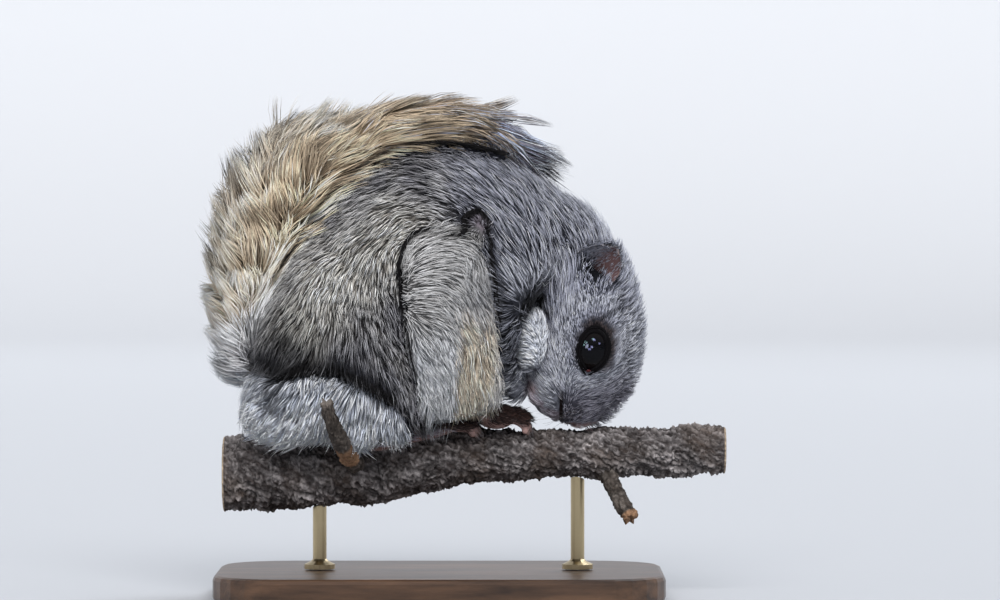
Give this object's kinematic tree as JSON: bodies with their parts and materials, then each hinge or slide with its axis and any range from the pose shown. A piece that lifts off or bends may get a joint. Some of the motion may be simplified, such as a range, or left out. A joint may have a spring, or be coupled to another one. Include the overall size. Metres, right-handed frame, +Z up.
{
  "type": "flying squirrel model on a perch",
  "caption": "Life-size Siberian flying squirrel hunched head down on a short cut branch, bushy tail laid over its back, on a display stand.",
  "frame": {"origin": "middle of the underside of the stand's base", "axes": "+X along the branch, the way the squirrel faces; +Y towards its left side; +Z up"},
  "size_m": [0.1204, 0.066, 0.1194],
  "materials": {
    "fur_grey": "dense soft fur, pale grey tips over dark roots",
    "fur_white": "soft white underfur",
    "fur_cream": "soft cream and tan fur",
    "fur_brown": "short dark brown fur",
    "eye_black": "wet gloss",
    "ear_skin": "thin skin with short hair",
    "bark": "rough scaly bark",
    "stand_wood": "dark satin varnish",
    "rod_metal": "satin"
  },
  "bodies": {
    "root": {"torso": "fur_grey", "neck": "fur_grey", "head": "fur_grey", "ear_left": "ear_skin", "ear_right": "ear_skin", "eye_left": "eye_black", "eye_right": "eye_black", "foreleg_left": "fur_cream", "foreleg_right": "fur_cream", "forefoot_left": "fur_brown", "forefoot_right": "fur_brown", "haunch_left": "fur_grey", "haunch_right": "fur_grey", "shank_left": "fur_white", "shank_right": "fur_white", "hindfoot_left": "fur_brown", "hindfoot_right": "fur_brown", "tail_base": "fur_cream", "tail_middle": "fur_cream", "tail_tip": "fur_cream", "perch_branch": "bark", "stand_base": "stand_wood", "stand_rod_1": "rod_metal", "stand_rod_2": "rod_metal"}
  },
  "joints": []
}
